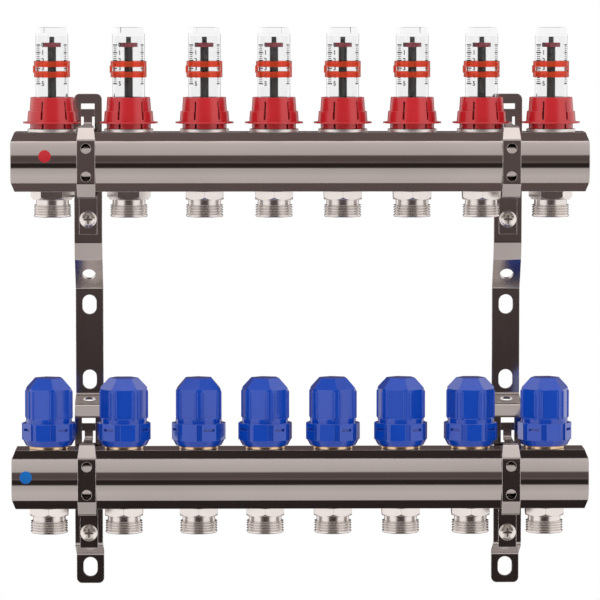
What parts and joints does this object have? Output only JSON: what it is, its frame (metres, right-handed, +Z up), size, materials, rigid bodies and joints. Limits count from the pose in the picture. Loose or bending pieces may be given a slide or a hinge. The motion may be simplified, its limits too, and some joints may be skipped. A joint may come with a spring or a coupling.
{
  "type": "underfloor heating manifold",
  "caption": "Wall-hung heating manifold: a supply bar with flow meters over a return bar with hand valves, threaded outlets below both, on two bent brackets.",
  "frame": {"origin": "on the wall plane, midway between the ends of the bars and between their axes", "axes": "+Y points into the wall, +X runs along the bars to the right, +Z is up"},
  "size_m": [0.411, 0.0718, 0.4043],
  "materials": {
    "nickel_plate": "bright nickel plating",
    "plated_steel": "bright plating",
    "screw_steel": "bright zinc",
    "bare_brass": "machined",
    "seal_rubber": "matt",
    "clear_plastic": "clear",
    "red_plastic": "satin moulded",
    "blue_plastic": "satin moulded",
    "black_plastic": "satin moulded",
    "marker_plastic": "translucent",
    "pin_steel": "turned",
    "red_mark": "printed film",
    "blue_mark": "printed film"
  },
  "bodies": {
    "manifold": {"supply_bar": "nickel_plate", "return_bar": "nickel_plate", "bracket_left": "plated_steel", "bracket_right": "plated_steel", "clamp_supply_left": "plated_steel", "clamp_supply_right": "plated_steel", "clamp_return_left": "plated_steel", "clamp_return_right": "plated_steel", "clamp_screws": "screw_steel", "supply_nipples": "nickel_plate", "return_nipples": "nickel_plate", "supply_mark": "red_mark", "return_mark": "blue_mark", "meter_bases": "nickel_plate", "meter_seals": "seal_rubber", "sight_tubes": "clear_plastic", "valve_inserts": "bare_brass", "valve_seals": "seal_rubber"},
    "collar_1": {"collar_1": "red_plastic"},
    "indicator_1": {"indicator_1": "black_plastic"},
    "marker_1": {"marker_1": "marker_plastic"},
    "valve_pin_1": {"valve_pin_1": "pin_steel"},
    "cap_1": {"cap_1": "blue_plastic"},
    "collar_2": {"collar_2": "red_plastic"},
    "indicator_2": {"indicator_2": "black_plastic"},
    "marker_2": {"marker_2": "marker_plastic"},
    "valve_pin_2": {"valve_pin_2": "pin_steel"},
    "cap_2": {"cap_2": "blue_plastic"},
    "collar_3": {"collar_3": "red_plastic"},
    "indicator_3": {"indicator_3": "black_plastic"},
    "marker_3": {"marker_3": "marker_plastic"},
    "valve_pin_3": {"valve_pin_3": "pin_steel"},
    "cap_3": {"cap_3": "blue_plastic"},
    "collar_4": {"collar_4": "red_plastic"},
    "indicator_4": {"indicator_4": "black_plastic"},
    "marker_4": {"marker_4": "marker_plastic"},
    "valve_pin_4": {"valve_pin_4": "pin_steel"},
    "cap_4": {"cap_4": "blue_plastic"},
    "collar_5": {"collar_5": "red_plastic"},
    "indicator_5": {"indicator_5": "black_plastic"},
    "marker_5": {"marker_5": "marker_plastic"},
    "valve_pin_5": {"valve_pin_5": "pin_steel"},
    "cap_5": {"cap_5": "blue_plastic"},
    "collar_6": {"collar_6": "red_plastic"},
    "indicator_6": {"indicator_6": "black_plastic"},
    "marker_6": {"marker_6": "marker_plastic"},
    "valve_pin_6": {"valve_pin_6": "pin_steel"},
    "cap_6": {"cap_6": "blue_plastic"},
    "collar_7": {"collar_7": "red_plastic"},
    "indicator_7": {"indicator_7": "black_plastic"},
    "marker_7": {"marker_7": "marker_plastic"},
    "valve_pin_7": {"valve_pin_7": "pin_steel"},
    "cap_7": {"cap_7": "blue_plastic"},
    "collar_8": {"collar_8": "red_plastic"},
    "indicator_8": {"indicator_8": "black_plastic"},
    "marker_8": {"marker_8": "marker_plastic"},
    "valve_pin_8": {"valve_pin_8": "pin_steel"},
    "cap_8": {"cap_8": "blue_plastic"}
  },
  "joints": [
    {"name": "collar_1_turn", "type": "hinge", "parent": "manifold", "child": "collar_1", "pos_m": [-0.1765, -0.04315, 0.143], "axis": [0, 0, 1], "range_deg": [-450, 450]},
    {"name": "indicator_1_slide", "type": "slide", "parent": "manifold", "child": "indicator_1", "axis": [0, 0, 1], "range_m": [-0.034, 0], "stiffness_N_per_m": 10, "springref_m": 0.012},
    {"name": "marker_1_slide", "type": "slide", "parent": "manifold", "child": "marker_1", "axis": [0, 0, 1], "range_m": [-0.013, 0.019]},
    {"name": "valve_pin_1_slide", "type": "slide", "parent": "manifold", "child": "valve_pin_1", "axis": [0, 0, 1], "range_m": [-0.00221, 0]},
    {"name": "cap_1_turn", "type": "hinge", "parent": "valve_pin_1", "child": "cap_1", "pos_m": [-0.1795, -0.04915, -0.073], "axis": [0, 0, 1], "range_deg": [-528, 0]},
    {"name": "collar_2_turn", "type": "hinge", "parent": "manifold", "child": "collar_2", "pos_m": [-0.122, -0.04315, 0.143], "axis": [0, 0, 1], "range_deg": [-450, 450]},
    {"name": "indicator_2_slide", "type": "slide", "parent": "manifold", "child": "indicator_2", "axis": [0, 0, 1], "range_m": [-0.034, 0], "stiffness_N_per_m": 10, "springref_m": 0.012},
    {"name": "marker_2_slide", "type": "slide", "parent": "manifold", "child": "marker_2", "axis": [0, 0, 1], "range_m": [-0.013, 0.019]},
    {"name": "valve_pin_2_slide", "type": "slide", "parent": "manifold", "child": "valve_pin_2", "axis": [0, 0, 1], "range_m": [-0.00221, 0]},
    {"name": "cap_2_turn", "type": "hinge", "parent": "valve_pin_2", "child": "cap_2", "pos_m": [-0.126, -0.04915, -0.073], "axis": [0, 0, 1], "range_deg": [-528, 0]},
    {"name": "collar_3_turn", "type": "hinge", "parent": "manifold", "child": "collar_3", "pos_m": [-0.068, -0.04315, 0.143], "axis": [0, 0, 1], "range_deg": [-450, 450]},
    {"name": "indicator_3_slide", "type": "slide", "parent": "manifold", "child": "indicator_3", "axis": [0, 0, 1], "range_m": [-0.034, 0], "stiffness_N_per_m": 10, "springref_m": 0.012},
    {"name": "marker_3_slide", "type": "slide", "parent": "manifold", "child": "marker_3", "axis": [0, 0, 1], "range_m": [-0.013, 0.019]},
    {"name": "valve_pin_3_slide", "type": "slide", "parent": "manifold", "child": "valve_pin_3", "axis": [0, 0, 1], "range_m": [-0.00221, 0]},
    {"name": "cap_3_turn", "type": "hinge", "parent": "valve_pin_3", "child": "cap_3", "pos_m": [-0.0725, -0.04915, -0.073], "axis": [0, 0, 1], "range_deg": [-528, 0]},
    {"name": "collar_4_turn", "type": "hinge", "parent": "manifold", "child": "collar_4", "pos_m": [-0.0185, -0.04315, 0.143], "axis": [0, 0, 1], "range_deg": [-450, 450]},
    {"name": "indicator_4_slide", "type": "slide", "parent": "manifold", "child": "indicator_4", "axis": [0, 0, 1], "range_m": [-0.034, 0], "stiffness_N_per_m": 10, "springref_m": 0.012},
    {"name": "marker_4_slide", "type": "slide", "parent": "manifold", "child": "marker_4", "axis": [0, 0, 1], "range_m": [-0.013, 0.019]},
    {"name": "valve_pin_4_slide", "type": "slide", "parent": "manifold", "child": "valve_pin_4", "axis": [0, 0, 1], "range_m": [-0.00221, 0]},
    {"name": "cap_4_turn", "type": "hinge", "parent": "valve_pin_4", "child": "cap_4", "pos_m": [-0.025, -0.04915, -0.073], "axis": [0, 0, 1], "range_deg": [-528, 0]},
    {"name": "collar_5_turn", "type": "hinge", "parent": "manifold", "child": "collar_5", "pos_m": [0.0305, -0.04315, 0.143], "axis": [0, 0, 1], "range_deg": [-450, 450]},
    {"name": "indicator_5_slide", "type": "slide", "parent": "manifold", "child": "indicator_5", "axis": [0, 0, 1], "range_m": [-0.034, 0], "stiffness_N_per_m": 10, "springref_m": 0.012},
    {"name": "marker_5_slide", "type": "slide", "parent": "manifold", "child": "marker_5", "axis": [0, 0, 1], "range_m": [-0.013, 0.019]},
    {"name": "valve_pin_5_slide", "type": "slide", "parent": "manifold", "child": "valve_pin_5", "axis": [0, 0, 1], "range_m": [-0.00221, 0]},
    {"name": "cap_5_turn", "type": "hinge", "parent": "valve_pin_5", "child": "cap_5", "pos_m": [0.0235, -0.04915, -0.073], "axis": [0, 0, 1], "range_deg": [-528, 0]},
    {"name": "collar_6_turn", "type": "hinge", "parent": "manifold", "child": "collar_6", "pos_m": [0.08, -0.04315, 0.143], "axis": [0, 0, 1], "range_deg": [-450, 450]},
    {"name": "indicator_6_slide", "type": "slide", "parent": "manifold", "child": "indicator_6", "axis": [0, 0, 1], "range_m": [-0.034, 0], "stiffness_N_per_m": 10, "springref_m": 0.012},
    {"name": "marker_6_slide", "type": "slide", "parent": "manifold", "child": "marker_6", "axis": [0, 0, 1], "range_m": [-0.013, 0.019]},
    {"name": "valve_pin_6_slide", "type": "slide", "parent": "manifold", "child": "valve_pin_6", "axis": [0, 0, 1], "range_m": [-0.00221, 0]},
    {"name": "cap_6_turn", "type": "hinge", "parent": "valve_pin_6", "child": "cap_6", "pos_m": [0.072, -0.04915, -0.073], "axis": [0, 0, 1], "range_deg": [-528, 0]},
    {"name": "collar_7_turn", "type": "hinge", "parent": "manifold", "child": "collar_7", "pos_m": [0.1295, -0.04315, 0.143], "axis": [0, 0, 1], "range_deg": [-450, 450]},
    {"name": "indicator_7_slide", "type": "slide", "parent": "manifold", "child": "indicator_7", "axis": [0, 0, 1], "range_m": [-0.034, 0], "stiffness_N_per_m": 10, "springref_m": 0.012},
    {"name": "marker_7_slide", "type": "slide", "parent": "manifold", "child": "marker_7", "axis": [0, 0, 1], "range_m": [-0.013, 0.019]},
    {"name": "valve_pin_7_slide", "type": "slide", "parent": "manifold", "child": "valve_pin_7", "axis": [0, 0, 1], "range_m": [-0.00221, 0]},
    {"name": "cap_7_turn", "type": "hinge", "parent": "valve_pin_7", "child": "cap_7", "pos_m": [0.122, -0.04915, -0.073], "axis": [0, 0, 1], "range_deg": [-528, 0]},
    {"name": "collar_8_turn", "type": "hinge", "parent": "manifold", "child": "collar_8", "pos_m": [0.179, -0.04315, 0.143], "axis": [0, 0, 1], "range_deg": [-450, 450]},
    {"name": "indicator_8_slide", "type": "slide", "parent": "manifold", "child": "indicator_8", "axis": [0, 0, 1], "range_m": [-0.034, 0], "stiffness_N_per_m": 10, "springref_m": 0.012},
    {"name": "marker_8_slide", "type": "slide", "parent": "manifold", "child": "marker_8", "axis": [0, 0, 1], "range_m": [-0.013, 0.019]},
    {"name": "valve_pin_8_slide", "type": "slide", "parent": "manifold", "child": "valve_pin_8", "axis": [0, 0, 1], "range_m": [-0.00221, 0]},
    {"name": "cap_8_turn", "type": "hinge", "parent": "valve_pin_8", "child": "cap_8", "pos_m": [0.175, -0.04915, -0.073], "axis": [0, 0, 1], "range_deg": [-528, 0]}
  ],
  "couplings": [
    {"joint": "valve_pin_1_slide", "follows": "cap_1_turn", "m_per_rad": 0.00023873},
    {"joint": "valve_pin_2_slide", "follows": "cap_2_turn", "m_per_rad": 0.00023873},
    {"joint": "valve_pin_3_slide", "follows": "cap_3_turn", "m_per_rad": 0.00023873},
    {"joint": "valve_pin_4_slide", "follows": "cap_4_turn", "m_per_rad": 0.00023873},
    {"joint": "valve_pin_5_slide", "follows": "cap_5_turn", "m_per_rad": 0.00023873},
    {"joint": "valve_pin_6_slide", "follows": "cap_6_turn", "m_per_rad": 0.00023873},
    {"joint": "valve_pin_7_slide", "follows": "cap_7_turn", "m_per_rad": 0.00023873},
    {"joint": "valve_pin_8_slide", "follows": "cap_8_turn", "m_per_rad": 0.00023873}
  ]
}
